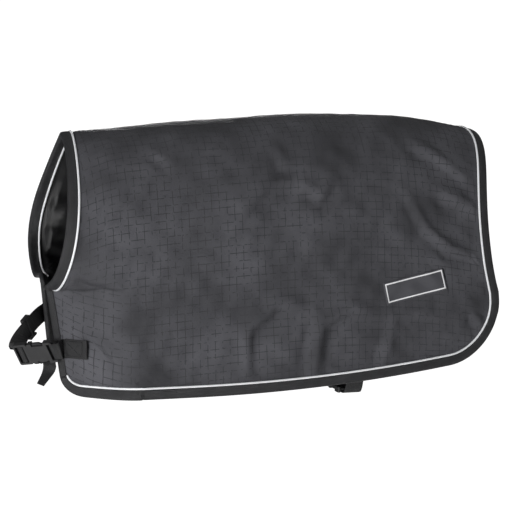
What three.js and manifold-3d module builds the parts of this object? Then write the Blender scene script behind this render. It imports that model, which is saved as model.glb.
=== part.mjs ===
// A padded, lined coat for a calf, laid over its back and closed by two webbing straps.
// Millimetres. +Z is up, the neck opening is at -X, the animal's left side is at -Y.
// The origin is on the inner face of the lining, where the middle of the back carries it.
import * as THREE from 'three';
import { mergeVertices } from 'three/addons/utils/BufferGeometryUtils.js';
import Module from 'manifold-3d';

const wasm = await Module();
wasm.setup();

const V = (x, y, z) => new THREE.Vector3(x, y, z);

// ---- driving dimensions ----

// The coat's cut. Depths and radii are to the inner side of the bound edge, where the
// piping lies.
const BACK_LENGTH = 727;        // along the back, edge to edge
const BORDER = 13;              // width of the bound edge outside the piping
const NECK_FALL = 33;           // how far the ridge drops from its crest to the neck
const TAIL_FALL = 27;           // and from its crest to the tail
const CREST_X = 92;             // where the ridge is highest
const HEM_DEPTH = 437;          // from the crest down to the hem at the front
const HEM_RISE = 40;            // how much higher the hem is at the tail
const HEM_RISE_START = -188;    // where the hem starts to rise
const NECK_DEPTH = 249;         // from the top of the neck opening to the throat
const THROAT_LEAD = 36;         // how far the throat stands ahead of the top of the neck
const FLAP_SET_BACK = 19;       // how far the front edge slopes back from throat to hem
const FLAP_CORNER = 18;         // radius of the lower front corner
const REAR_CORNER = 85;         // radius of the lower rear corner
const REAR_HOLLOW = 15;         // how far the rear edge is hollowed in
const REAR_FLARE = 5;           // and how far it swings out again towards the hem
const RIGHT_LIFT = 38;          // how much higher the straps draw the right flap

// The coat's spread, as half widths.
const NECK_HALF_WIDTH = 126;
const FLAP_HALF_GAP_TOP = 31;
const FLAP_HALF_GAP_HEM = 54;
const SPREAD = { neck: 152, middle: 160, tail: 132 };
const SHOULDER = { neck: 75, middle: 90, tail: 65 };
const WRAP = 60;                // least length over which the chest turns in to its edge

// The layers of cloth.
const GAP = 0.4;                // clearance between pieces that touch
const SHELL = 0.8;
const LINING = 0.8;
const WADDING = 7;
const WADDING_AT_EDGE = 2.4;
const EDGE_TAPER = 45;          // the wadding thins out over this distance to the edge
const TAPE = 1;                 // thickness of the edge binding
const TAPE_GAP = 1.05;          // how far the binding stands off the cloth
const PIPING_WIDTH = 3.6;
const PIPING_HEIGHT = 2.4;
const PIPING_GAP = 1.5;         // clearance between the piping and the curved cloth
const PANEL_LIFT = 1.2;

// Webbing and its hardware.
const WEBBING_WIDTH = 30;
const WEBBING = 1.5;
const SEAM_LIFT = 4.4;          // how far sewn webbing stands off the cloth, over the binding
const BUCKLE_THICKNESS = 9;
const BUCKLE_CORNER = 4;
const BUCKLE_WALL = 2;
const FACE_WALL = 1.8;
const SOCKET_LENGTH = 45;
const CLIP_LENGTH = 24;
const BAR = 3.6;                // length of a webbing bar along the buckle
const BAR_THICKNESS = 3.6;
const SLOT = 5.8;               // opening beside a bar that the webbing passes through
const SLOT_WIDTH = WEBBING_WIDTH + 2;
const BUCKLE_WIDTH = SLOT_WIDTH + 8;
const SEAM_STRAIGHT = 5;        // webbing runs straight this far from its seam
const WINDOW = { start: 15, end: SOCKET_LENGTH - 9, depth: 5 };
const TONGUE_WIDTH = 6;
const RUN_CLEARANCE = 0.5;      // between parts that slide in each other
const SLIDER_LENGTH = 18;
const SLIDER_BAR = 2.6;
const BELLY_TAIL_LENGTH = 36;

// The straps' places. Each buckle is placed by the outer end of its socket's bar and each
// slider by its middle: the chest's from the flap edge at its seam, with the chest buckle
// in half widths of itself, and the belly's from the lower end of its seam.
const CHEST_PATCH = { inset: 15, length: 25 };
const CHEST_RISE = { left: 61.6, right: 111.6 };     // of the seams above the front hem
const CHEST_BUCKLE = V(-0.285, -1.062, -0.151);
const CHEST_BUCKLE_ALONG = V(-0.741, 0.655, -0.126);
const CHEST_BUCKLE_DOWN = V(0.43, 0.347, -0.835);
const CHEST_SLIDER = V(-31.1, -22, -21);
const CHEST_SLIDER_ALONG = V(-0.6, -0.46, -0.5);
const CHEST_SLIDER_DOWN = V(0.3, 0.25, -0.9);
const BELLY_X = 101;
const BELLY_PATCH = { rise: 50, length: 34 };
const BELLY_BUCKLE = V(0, 30.3, -83.8);
const BELLY_BUCKLE_RISE = 5;                         // degrees
const BELLY_SLIDER = V(0, -54.4, -44.8);
const BELLY_SLIDER_ALONG = V(0, -0.82, -0.57);
// The chest strap's loose end in its buckle's frame, with the way its width lies. It bends
// a set distance short of the clip, then hangs beside the flap.
const CHEST_TAIL_BEND = { x: -4.4, y: 13, z: -8.5, across: V(-0.16, 0.69, -0.7) };
const CHEST_TAIL_HANG = [
  { x: 28, y: 29, z: -10, across: V(-0.45, 0.85, -0.28) },
  { x: 35, y: 46, z: -5, across: V(-0.3, 0.93, 0) },
  { x: 46, y: 57, z: 12, across: V(-0.05, 0.99, 0.1) },
];
const PANEL = { x: 206, z: -275, length: 116, height: 38, thickness: 0.8, tilt: 11 };

// How finely the cloth is divided.
const COLUMNS = 18;
const NECK_ROWS = 9;
const FLAP_ROWS = 6;
const ROWS = NECK_ROWS + FLAP_ROWS;

const clamp01 = (q) => Math.min(Math.max(q, 0), 1);
const smooth = (q) => clamp01(q) ** 2 * (3 - 2 * clamp01(q));
const mix = (a, b, q) => a + (b - a) * q;
const lerp = (a, b, q) => a.clone().lerp(b, q);

// ---- the coat's form ----

const STACK = SHELL + GAP + WADDING + GAP + LINING;
const EDGE_STACK = SHELL + GAP + WADDING_AT_EDGE + GAP + LINING;
const NECK_X = -BACK_LENGTH / 2 + BORDER;
const TAIL_X = BACK_LENGTH / 2 - BORDER;

const ridgeFall = (x) => (x < CREST_X
  ? NECK_FALL * ((CREST_X - x) / (CREST_X + BACK_LENGTH / 2)) ** 1.5
  : TAIL_FALL * ((x - CREST_X) / (BACK_LENGTH / 2 - CREST_X)) ** 2.8);
const CREST_Z = STACK + ridgeFall(0);
const ridgeZ = (x) => CREST_Z - ridgeFall(x);
const hemRise = (x) => HEM_RISE * clamp01((x - HEM_RISE_START) / (TAIL_X - HEM_RISE_START)) ** 2;
const hemZ = (x) => CREST_Z - HEM_DEPTH + hemRise(x);
const THROAT_SHARE = NECK_DEPTH / (ridgeZ(NECK_X) - hemZ(NECK_X));

// Share of the side's depth at a row: rows crowd at the ridge, the throat and the hem.
function rowShare(row) {
  if (row <= NECK_ROWS) {
    return THROAT_SHARE * (1 - Math.cos((Math.PI * row) / NECK_ROWS)) / 2;
  }
  const left = (ROWS - row) / FLAP_ROWS;
  return 1 - (1 - THROAT_SHARE) * left ** 2;
}

// How far a rounded lower corner takes the edge back, at a height above the hem.
function cornerInset(radius, height) {
  const q = clamp01(1 - height / radius);
  return radius * (1 - Math.sqrt(1 - q * q));
}

// The front edge's line, and where the cloth starts once its lower corner is rounded off.
function frontLine(share) {
  const neck = clamp01(share / THROAT_SHARE);
  const flap = clamp01((share - THROAT_SHARE) / (1 - THROAT_SHARE));
  return NECK_X - THROAT_LEAD * neck + FLAP_SET_BACK * flap;
}
function frontX(share) {
  const depth = ridgeZ(NECK_X) - hemZ(NECK_X);
  return frontLine(share) + cornerInset(FLAP_CORNER, (1 - share) * depth);
}

function rearX(share) {
  const depth = ridgeZ(TAIL_X) - hemZ(TAIL_X);
  const hollow = REAR_HOLLOW * Math.sin(Math.PI * clamp01(share / 0.75));
  const flare = REAR_FLARE * smooth((share - 0.6) / 0.3);
  return TAIL_X - hollow + flare - cornerInset(REAR_CORNER, (1 - share) * depth);
}

// Half width of the front edge: a pointed arch down to the throat, then the two flap edges.
function frontHalfWidth(share) {
  if (share >= THROAT_SHARE) {
    const flap = (share - THROAT_SHARE) / (1 - THROAT_SHARE);
    return mix(FLAP_HALF_GAP_TOP, FLAP_HALF_GAP_HEM, flap);
  }
  const p = share / THROAT_SHARE;
  const arch = Math.sqrt(Math.max(Math.sin(Math.PI * p ** 1.3), 0));
  return FLAP_HALF_GAP_TOP * p + (NECK_HALF_WIDTH - 0.58 * FLAP_HALF_GAP_TOP) * arch;
}

// Half width of the free cloth: it rolls over the ridge and falls to its full spread.
function sideHalfWidth(x, depth) {
  const q = clamp01((x - NECK_X) / (TAIL_X - NECK_X));
  const bump = (a) => a.middle - (a.neck + a.tail) / 2;
  const spread = mix(SPREAD.neck, SPREAD.tail, q) + bump(SPREAD) * Math.sin(Math.PI * q);
  const roll = mix(SHOULDER.neck, SHOULDER.tail, q) + bump(SHOULDER) * Math.sin(Math.PI * q);
  return spread * Math.sqrt(depth / (depth + roll));
}

function clothPoint(column, row) {
  const side = Math.sign(row);
  const share = rowShare(Math.abs(row));
  const u = column / COLUMNS;
  const along = u - (0.55 * Math.sin(2 * Math.PI * u)) / (2 * Math.PI);
  const x0 = frontLine(share);
  const x = mix(frontX(share), rearX(share), along);
  const depth = share * (ridgeZ(x) - hemZ(x));
  const edge = frontHalfWidth(share);
  const spare = sideHalfWidth(x0, depth) - edge;
  const turn = Math.sin((Math.PI / 2) * clamp01((x - x0) / (WRAP + 0.45 * Math.abs(spare))));
  const y = edge + (sideHalfWidth(x, depth) - edge) * turn;
  const toFront = 1 - smooth((x - NECK_X) / (BACK_LENGTH / 2));
  const lift = side > 0 ? RIGHT_LIFT * share ** 2 * toFront : 0;
  return V(x, side * y, ridgeZ(x) - depth + lift);
}

// The cloth's outer face as points, normals and four-sided cells, with a bound edge outside
// the piping line. Points of the edge follow the inner ones, in the order of the edge.
function makeCloth() {
  const across = 2 * ROWS + 1;
  const id = (column, row) => column * across + row + ROWS;
  const points = [];
  for (let c = 0; c <= COLUMNS; c += 1) {
    for (let r = -ROWS; r <= ROWS; r += 1) points.push(clothPoint(c, r));
  }
  const cells = [];
  for (let c = 0; c < COLUMNS; c += 1) {
    for (let r = -ROWS; r < ROWS; r += 1) {
      cells.push([id(c, r), id(c + 1, r), id(c + 1, r + 1), id(c, r + 1)]);
    }
  }
  const normals = points.map((_, n) => {
    const c = Math.floor(n / across);
    const r = (n % across) - ROWS;
    const before = points[id(Math.max(c - 1, 0), r)];
    const after = points[id(Math.min(c + 1, COLUMNS), r)];
    const left = points[id(c, Math.max(r - 1, -ROWS))];
    const right = points[id(c, Math.min(r + 1, ROWS))];
    return after.clone().sub(before).cross(right.clone().sub(left)).normalize();
  });
  const loop = [];
  for (let c = 0; c < COLUMNS; c += 1) loop.push([c, -ROWS]);
  for (let r = -ROWS; r < ROWS; r += 1) loop.push([COLUMNS, r]);
  for (let c = COLUMNS; c > 0; c -= 1) loop.push([c, ROWS]);
  for (let r = ROWS; r > -ROWS; r -= 1) loop.push([0, r]);
  const edge = loop.map(([c, r]) => ({
    inner: id(c, r),
    next: id(Math.min(Math.max(c, 1), COLUMNS - 1), Math.min(Math.max(r, 1 - ROWS), ROWS - 1)),
    column: c,
    row: r,
  }));
  const count = edge.length;
  edge.forEach((node, k) => {
    const at = points[node.inner];
    const before = points[edge[(k + count - 1) % count].inner];
    const after = points[edge[(k + 1) % count].inner];
    const normal = normals[node.inner];
    const outA = at.clone().sub(before).cross(normal).normalize();
    const outB = after.clone().sub(at).cross(normal).normalize();
    const out = outA.clone().add(outB).divideScalar(1 + outA.dot(outB));
    node.outer = points.length;
    node.out = out;
    points.push(at.clone().addScaledVector(out, BORDER));
    normals.push(normal.clone());
  });
  edge.forEach((node, k) => {
    const next = edge[(k + 1) % count];
    cells.push([node.outer, next.outer, next.inner, node.inner]);
  });
  const inner = across * (COLUMNS + 1);
  const toEdge = points.map((p, n) => {
    if (n >= inner) return 0;
    const c = Math.floor(n / across);
    const r = (n % across) - ROWS;
    const ends = [id(0, r), id(COLUMNS, r), id(c, -ROWS), id(c, ROWS)];
    return Math.min(...ends.map((e) => points[e].distanceTo(p)));
  });
  const wadding = toEdge.map((d) => mix(WADDING_AT_EDGE, WADDING, smooth(d / EDGE_TAPER)));
  return { points, normals, cells, edge, wadding };
}

const cloth = makeCloth();

// ---- mesh helpers ----

function closedGeometry(points, faces) {
  const flat = new Float32Array(points.flatMap((p) => [p.x, p.y, p.z]));
  let volume = 0;
  const kept = faces.filter(([a, b, c]) => a !== b && b !== c && c !== a);
  kept.forEach(([a, b, c]) => {
    volume += points[a].dot(points[b].clone().cross(points[c]));
  });
  const index = kept.flatMap(([a, b, c]) => (volume < 0 ? [a, c, b] : [a, b, c]));
  const geometry = new THREE.BufferGeometry();
  geometry.setAttribute('position', new THREE.BufferAttribute(flat, 3));
  geometry.setIndex(index);
  geometry.computeVertexNormals();
  return geometry;
}

// A layer of cloth over some cells, between two depths under the outer face.
function layer(cells, top, bottom, shift = () => 0) {
  const used = new Map();
  cells.flat().forEach((n) => used.has(n) || used.set(n, used.size));
  const ids = [...used.keys()];
  const at = (n, depth) => {
    const p = cloth.points[n].clone().addScaledVector(cloth.normals[n], -depth(n));
    p.y += shift(n);
    return p;
  };
  const points = [...ids.map((n) => at(n, top)), ...ids.map((n) => at(n, bottom))];
  const low = ids.length;
  const faces = [];
  const open = new Map();
  cells.forEach((cell) => {
    const [a, b, c, d] = cell.map((n) => used.get(n));
    faces.push([a, b, c], [a, c, d], [low + a, low + c, low + b], [low + a, low + d, low + c]);
    [[a, b], [b, c], [c, d], [d, a]].forEach(([p, q]) => {
      if (!open.delete(`${q},${p}`)) open.set(`${p},${q}`, [p, q]);
    });
  });
  [...open.values()].forEach(([p, q]) => {
    faces.push([p, low + p, low + q], [p, low + q, q]);
  });
  return closedGeometry(points, faces);
}

// A solid carried through a list of sections that have the same number of points.
// fill lists the triangles that close each end, and turned the sides that are split along
// their other diagonal.
function loft(sections, fill, turned = []) {
  const n = sections[0].length;
  const points = sections.flat();
  const faces = [];
  for (let s = 0; s + 1 < sections.length; s += 1) {
    for (let k = 0; k < n; k += 1) {
      const a = s * n + k;
      const b = s * n + ((k + 1) % n);
      if (turned.includes(k)) faces.push([a, b, a + n], [b, b + n, a + n]);
      else faces.push([a, b, b + n], [a, b + n, a + n]);
    }
  }
  const last = (sections.length - 1) * n;
  fill.forEach(([a, b, c]) => faces.push([a, c, b], [last + a, last + b, last + c]));
  return closedGeometry(points, faces);
}

const FLAT_FILL = [[0, 1, 2], [0, 2, 3]];

// A flat strap through stations { at, across }, which may twist.
function ribbon(stations, width = WEBBING_WIDTH, thickness = WEBBING) {
  const sections = stations.map(({ at, across }, k) => {
    const before = stations[Math.max(k - 1, 0)].at;
    const after = stations[Math.min(k + 1, stations.length - 1)].at;
    const along = after.clone().sub(before).normalize();
    const face = along.clone().cross(across).normalize();
    const wide = face.clone().cross(along).normalize().multiplyScalar(width / 2);
    const thick = face.multiplyScalar(thickness / 2);
    return [[-1, -1], [1, -1], [1, 1], [-1, 1]].map(([w, t]) => (
      at.clone().addScaledVector(wide, w).addScaledVector(thick, t)));
  });
  return loft(sections, FLAT_FILL);
}

function toManifold(geometry) {
  const bare = geometry.clone();
  bare.deleteAttribute('normal');
  bare.deleteAttribute('uv');
  const merged = mergeVertices(bare, 1e-4);
  return new wasm.Manifold(new wasm.Mesh({
    numProp: 3,
    vertProperties: new Float32Array(merged.attributes.position.array),
    triVerts: new Uint32Array(merged.index.array),
  }));
}

function fromManifold(solid) {
  const mesh = solid.getMesh();
  const geometry = new THREE.BufferGeometry();
  geometry.setAttribute('position', new THREE.BufferAttribute(mesh.vertProperties, 3));
  geometry.setIndex(new THREE.BufferAttribute(mesh.triVerts, 1));
  geometry.computeVertexNormals();
  return geometry;
}

// A box between two corners.
function block(x0, x1, y0, y1, z0, z1) {
  const box = new THREE.BoxGeometry(x1 - x0, y1 - y0, z1 - z0);
  return toManifold(box.translate((x0 + x1) / 2, (y0 + y1) / 2, (z0 + z1) / 2));
}

// A plate with rounded corners in x and y, standing between two heights.
function roundedPlate(x0, x1, y0, y1, z0, z1, radius) {
  const shape = new THREE.Shape();
  shape.moveTo(x0 + radius, y0);
  shape.lineTo(x1 - radius, y0);
  shape.absarc(x1 - radius, y0 + radius, radius, -Math.PI / 2, 0);
  shape.lineTo(x1, y1 - radius);
  shape.absarc(x1 - radius, y1 - radius, radius, 0, Math.PI / 2);
  shape.lineTo(x0 + radius, y1);
  shape.absarc(x0 + radius, y1 - radius, radius, Math.PI / 2, Math.PI);
  shape.lineTo(x0, y0 + radius);
  shape.absarc(x0 + radius, y0 + radius, radius, Math.PI, 1.5 * Math.PI);
  const options = { depth: z1 - z0, bevelEnabled: false, curveSegments: 4 };
  return toManifold(new THREE.ExtrudeGeometry(shape, options).translate(0, 0, z0));
}

// ---- materials ----

const finish = (color, roughness, metalness = 0) => (
  () => new THREE.MeshStandardMaterial({ color, roughness, metalness }));
const shellCloth = finish(0x4d4d51, 0.75);
const padding = finish(0xe8e8e4, 0.95);
const liningSatin = finish(0x141416, 0.35);
const tapeCloth = finish(0x3a3a3d, 0.7);
const reflective = finish(0xe9eaec, 0.4);
const webbingCloth = finish(0x232325, 0.7);
const moulded = finish(0x3c3c3e, 0.45);
const printed = finish(0x48484c, 0.6);

const coat = new THREE.Group();

function add(name, geometry, material, parent = coat) {
  const mesh = new THREE.Mesh(geometry, material());
  mesh.name = name;
  parent.add(mesh);
  return mesh;
}

// ---- layers of the coat ----

const wad = (n) => cloth.wadding[n];
const underShell = SHELL + GAP;
add('outer_shell', layer(cloth.cells, () => 0, () => SHELL), shellCloth);
add('lining', layer(
  cloth.cells,
  (n) => underShell + wad(n) + GAP,
  (n) => underShell + wad(n) + GAP + LINING,
), liningSatin);
[['wadding_left', -1], ['wadding_right', 1]].forEach(([name, side]) => {
  const half = cloth.cells.filter((cell) => (
    cell.every((n) => side * cloth.points[n].y > -1e-6)));
  const shift = (n) => (Math.abs(cloth.points[n].y) < 1e-6 ? (side * GAP) / 2 : 0);
  add(name, layer(half, () => underShell, (n) => underShell + wad(n), shift), padding);
});

// ---- bound edges and piping ----

// The U of tape round the edge at one node of the edge.
function tapeSection({ inner, outer, out }) {
  const normal = cloth.normals[inner];
  const legEnd = cloth.points[inner];
  const rim = cloth.points[outer];
  const place = (p, side, height) => (
    p.clone().addScaledVector(out, side).addScaledVector(normal, height));
  const over = TAPE_GAP + TAPE;
  return [
    place(legEnd, 0, over), place(rim, over, over),
    place(rim, over, -EDGE_STACK - over), place(legEnd, 0, -EDGE_STACK - over),
    place(legEnd, 0, -EDGE_STACK - TAPE_GAP), place(rim, TAPE_GAP, -EDGE_STACK - TAPE_GAP),
    place(rim, TAPE_GAP, TAPE_GAP), place(legEnd, 0, TAPE_GAP),
  ];
}
const TAPE_FILL = [[0, 1, 6], [0, 6, 7], [1, 2, 5], [1, 5, 6], [2, 3, 4], [2, 4, 5]];

// Piping is a low half-round bead just inside the tape.
const BEAD_INSET = PIPING_WIDTH / 2 + GAP;
const BEAD = [[-1, 0], [-0.7, 0.7], [0, 1], [0.7, 0.7], [1, 0]];
const BEAD_FILL = [[0, 1, 2], [0, 2, 3], [0, 3, 4]];
const shellTop = (n) => cloth.points[n];
const liningDepth = (n) => underShell + wad(n) + GAP + LINING;
const liningFace = (n) => cloth.points[n].clone()
  .addScaledVector(cloth.normals[n], -liningDepth(n));
function beadSection({ inner, next, out }, face) {
  const foot = face > 0 ? shellTop : liningFace;
  const start = foot(inner);
  const inward = foot(next).clone().sub(start);
  inward.divideScalar(-inward.dot(out.clone().normalize()));
  return BEAD.map(([side, height]) => start.clone()
    .addScaledVector(inward, BEAD_INSET - (side * PIPING_WIDTH) / 2)
    .addScaledVector(cloth.normals[inner], face * (PIPING_GAP + height * PIPING_HEIGHT)));
}

const edgeCount = cloth.edge.length;
const edgeAt = (column, row) => cloth.edge.findIndex((e) => e.column === column && e.row === row);
function edgeRun(from, to) {
  const steps = (to - from + edgeCount) % edgeCount;
  return Array.from({ length: steps + 1 }, (_, k) => cloth.edge[(from + k) % edgeCount]);
}
// Draws a run's two end sections back, so that two runs that meet keep a gap.
function trimmed(sections) {
  const draw = (end, next) => end.map((p, k) => (
    lerp(p, next[k], GAP / 2 / Math.max(end[0].distanceTo(next[0]), 1))));
  const last = sections.length - 1;
  return sections.map((section, k) => {
    if (k === 0) return draw(section, sections[1]);
    if (k === last) return draw(section, sections[last - 1]);
    return section;
  });
}
const HEM_START = ROWS - 2;     // row of the flap where the hem's tape and piping begin
const runs = {
  neck: edgeRun(edgeAt(0, NECK_ROWS), edgeAt(0, -NECK_ROWS)),
  flapLeft: edgeRun(edgeAt(0, -NECK_ROWS), edgeAt(0, -HEM_START)),
  flapRight: edgeRun(edgeAt(0, HEM_START), edgeAt(0, NECK_ROWS)),
  hem: edgeRun(edgeAt(0, -HEM_START), edgeAt(0, HEM_START)),
};
const INNER_SIDES = [4, 5];     // the tape's sides along the lining and round the rim
const tape = (run) => loft(trimmed(run.map(tapeSection)), TAPE_FILL, INNER_SIDES);
const bead = (run, face) => loft(trimmed(run.map((node) => beadSection(node, face))), BEAD_FILL);
add('neck_binding', tape(runs.neck), tapeCloth);
add('left_flap_binding', tape(runs.flapLeft), tapeCloth);
add('right_flap_binding', tape(runs.flapRight), tapeCloth);
add('hem_binding', tape(runs.hem), tapeCloth);
add('neck_piping', bead(runs.neck, 1), reflective);
add('neck_piping_inner', bead(runs.neck, -1), reflective);
add('hem_piping', bead(runs.hem, 1), reflective);

// ---- sewn patches ----

// Where the outer face of the cloth is at a height and x, on one side, as y, from the
// same flat cells that the cloth is made of.
function clothAt(x, z, side, foot) {
  const corners = (cell) => [[cell[0], cell[1], cell[2]], [cell[0], cell[2], cell[3]]];
  for (const cell of cloth.cells) {
    for (const triangle of corners(cell)) {
      const [a, b, c] = triangle.map(foot);
      const area = (b.x - a.x) * (c.z - a.z) - (c.x - a.x) * (b.z - a.z);
      const v = ((x - a.x) * (c.z - a.z) - (c.x - a.x) * (z - a.z)) / area;
      const w = ((b.x - a.x) * (z - a.z) - (x - a.x) * (b.z - a.z)) / area;
      const y = a.y + v * (b.y - a.y) + w * (c.y - a.y);
      if (v > -1e-6 && w > -1e-6 && v + w < 1 + 1e-6 && y * side > 0) {
        const normal = b.clone().sub(a).cross(c.clone().sub(a)).normalize();
        return { at: V(x, y, z), normal };
      }
    }
  }
  throw new Error(`no cloth at x ${x}, z ${z}`);
}
const DOWN = V(0, 0, -1);

// The front edge of a flap at a height: x, y of the bound edge's rim.
function flapEdge(z, side) {
  const rims = cloth.edge.filter((e) => e.column === 0 && e.row * side >= NECK_ROWS - 1e-6)
    .map((e) => cloth.points[e.outer]).sort((a, b) => b.z - a.z);
  const k = rims.findIndex((p, n) => n > 0 && p.z <= z);
  return lerp(rims[k - 1], rims[k], (rims[k - 1].z - z) / (rims[k - 1].z - rims[k].z));
}

// Webbing sewn on a flap, from CHEST_PATCH.inset behind the edge. lift is to its middle.
function flapStations(z, side, lift = SEAM_LIFT) {
  const edge = flapEdge(z, side);
  const steps = 4;
  return Array.from({ length: steps + 1 }, (_, k) => {
    const x = edge.x + CHEST_PATCH.inset + (CHEST_PATCH.length * k) / steps;
    const { at, normal } = clothAt(x, z, side, shellTop);
    return { at: at.addScaledVector(normal, lift), across: DOWN, normal };
  });
}
const leftSeamZ = hemZ(NECK_X) + CHEST_RISE.left;
const rightSeamZ = hemZ(NECK_X) + CHEST_RISE.right;
const leftSeam = flapStations(leftSeamZ, -1);
const rightSeam = flapStations(rightSeamZ, 1);
add('chest_patch_left', ribbon(leftSeam), webbingCloth);
add('chest_patch_right', ribbon(rightSeam), webbingCloth);

// The belly strap is sewn to the lining, inside each side.
function liningStations(side) {
  const top = hemZ(BELLY_X) + BELLY_PATCH.rise + BELLY_PATCH.length;
  return [0, 0.5, 1].map((q) => {
    const z = top - BELLY_PATCH.length * q;
    const { at, normal } = clothAt(BELLY_X, z, side, liningFace);
    return { at: at.addScaledVector(normal, -SEAM_LIFT / 2), across: V(1, 0, 0) };
  });
}
const bellyLeftSeam = liningStations(-1);
const bellyRightSeam = liningStations(1);
add('belly_patch_left', ribbon(bellyLeftSeam), webbingCloth);
add('belly_patch_right', ribbon(bellyRightSeam), webbingCloth);

// A flat printed panel on the left side, for the animal's number.
function makePanel() {
  const { length, height, thickness, tilt } = PANEL;
  const plate = roundedPlate(-length / 2, length / 2, -height / 2, height / 2, 0, thickness, 6);
  const { at, normal } = clothAt(PANEL.x, PANEL.z, -1, shellTop);
  const mesh = add('name_panel', fromManifold(plate), printed);
  const up = DOWN.clone().negate();
  const right = up.clone().cross(normal).normalize();
  const rise = normal.clone().cross(right);
  mesh.matrix.makeBasis(right, rise, normal)
    .multiply(new THREE.Matrix4().makeRotationZ(THREE.MathUtils.degToRad(tilt)));
  mesh.quaternion.setFromRotationMatrix(mesh.matrix);
  mesh.position.copy(at.addScaledVector(normal, PANEL_LIFT));
}
makePanel();

// ---- side-release buckles ----
// In a buckle's own frame x runs from the socket's bar to the clip's end, y is across the
// webbing and z is the outer side.

const HALF = BUCKLE_WIDTH / 2;
const SLOT_HALF = SLOT_WIDTH / 2;
const FACE = BUCKLE_THICKNESS / 2;
const CAVITY = { half: HALF - BUCKLE_WALL, face: FACE - FACE_WALL, start: WINDOW.start - 3 };
const CLIP_START = SOCKET_LENGTH + GAP;
const CLIP_END = CLIP_START + CLIP_LENGTH;
const CLIP_FACE = FACE - 0.5;
const REAR_BAR = { start: CLIP_START + 12, end: CLIP_START + 12 + BAR };

// Opens a slot each side of a bar that is thinner than the frame round it.
function cutBar(solid, start, slots) {
  let cut = solid;
  slots.forEach(([a, b]) => {
    cut = cut.subtract(block(a, b, -SLOT_HALF, SLOT_HALF, -FACE - 1, FACE + 1));
  });
  const end = start + BAR;
  const bar = BAR_THICKNESS / 2;
  return cut
    .subtract(block(start - 1, end + 0.01, -SLOT_HALF, SLOT_HALF, bar, FACE + 1))
    .subtract(block(start - 1, end + 0.01, -SLOT_HALF, SLOT_HALF, -FACE - 1, -bar));
}

function socketGeometry() {
  let solid = roundedPlate(0, SOCKET_LENGTH, -HALF, HALF, -FACE, FACE, BUCKLE_CORNER);
  solid = cutBar(solid, 0, [[BAR, BAR + SLOT]]);
  const { half, face, start } = CAVITY;
  solid = solid.subtract(block(start, SOCKET_LENGTH + 1, -half, half, -face, face));
  [-1, 1].forEach((side) => {
    const near = side * (HALF - WINDOW.depth);
    const far = side * (HALF + 1);
    solid = solid.subtract(block(
      WINDOW.start,
      WINDOW.end,
      Math.min(near, far),
      Math.max(near, far),
      -FACE - 1,
      FACE + 1,
    ));
  });
  return fromManifold(solid);
}

function clipGeometry() {
  const plate = roundedPlate(CLIP_START, CLIP_END, -HALF, HALF, -CLIP_FACE, CLIP_FACE, 3);
  const slots = [
    [REAR_BAR.start - SLOT, REAR_BAR.start],
    [REAR_BAR.end, REAR_BAR.end + SLOT],
  ];
  const tongue = CAVITY.face - RUN_CLEARANCE;
  const half = TONGUE_WIDTH / 2;
  return fromManifold(cutBar(plate, REAR_BAR.start, slots)
    .add(block(WINDOW.start + 4, CLIP_START + 1, -half, half, -tongue, tongue)));
}

// One sprung prong: an arm from its root in the mouth to a head that fills the window and
// catches behind the window's front wall.
const PRONG_ROOT = { x: SOCKET_LENGTH - 0.3, y: HALF / 2 };
function prongGeometry(side) {
  const wall = CAVITY.half;
  const outline = [
    [PRONG_ROOT.x, PRONG_ROOT.y - 2], [PRONG_ROOT.x, PRONG_ROOT.y + 2.2],
    [WINDOW.end - 0.6, wall - 4.6], [WINDOW.end - 0.8, wall + 0.9],
    [WINDOW.end - 5, wall + 1.3], [WINDOW.start + 9, wall + 1.2],
    [WINDOW.start + 4, wall - 0.8], [WINDOW.start + 1.5, wall - 4.5],
    [WINDOW.start + 2.5, wall - 7.5], [WINDOW.end - 4, wall - 8.4],
  ];
  const shape = new THREE.Shape(outline.map(([x, y]) => new THREE.Vector2(x, side * y)));
  const thick = CAVITY.face - RUN_CLEARANCE;
  return new THREE.ExtrudeGeometry(shape, { depth: 2 * thick, bevelEnabled: false })
    .translate(0, 0, -thick);
}

function frameOf(origin, along, across) {
  const x = along.clone().normalize();
  const z = x.clone().cross(across).normalize();
  const y = z.clone().cross(x);
  return new THREE.Matrix4().makeBasis(x, y, z).setPosition(origin);
}
function placedGroup(frame) {
  const group = new THREE.Group();
  frame.decompose(group.position, group.quaternion, group.scale);
  coat.add(group);
  return group;
}
function addBuckle(strap, prongs, frame) {
  const group = placedGroup(frame);
  add(`${strap}_socket`, socketGeometry(), moulded, group);
  add(`${strap}_clip_base`, clipGeometry(), moulded, group);
  add(`${strap}_prong_${prongs[0]}`, prongGeometry(-1), moulded, group);
  add(`${strap}_prong_${prongs[1]}`, prongGeometry(1), moulded, group);
}
const chestBuckle = flapEdge(leftSeamZ, -1).addScaledVector(CHEST_BUCKLE, HALF);
const chestFrame = frameOf(chestBuckle, CHEST_BUCKLE_ALONG, CHEST_BUCKLE_DOWN);
const bellyBuckle = bellyLeftSeam[2].at.clone().add(BELLY_BUCKLE);
const rise = THREE.MathUtils.degToRad(BELLY_BUCKLE_RISE);
const bellyFrame = frameOf(bellyBuckle, V(0, Math.cos(rise), Math.sin(rise)), V(1, 0, 0));
addBuckle('chest', ['upper', 'lower'], chestFrame);
addBuckle('belly', ['rear', 'front'], bellyFrame);

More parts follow.
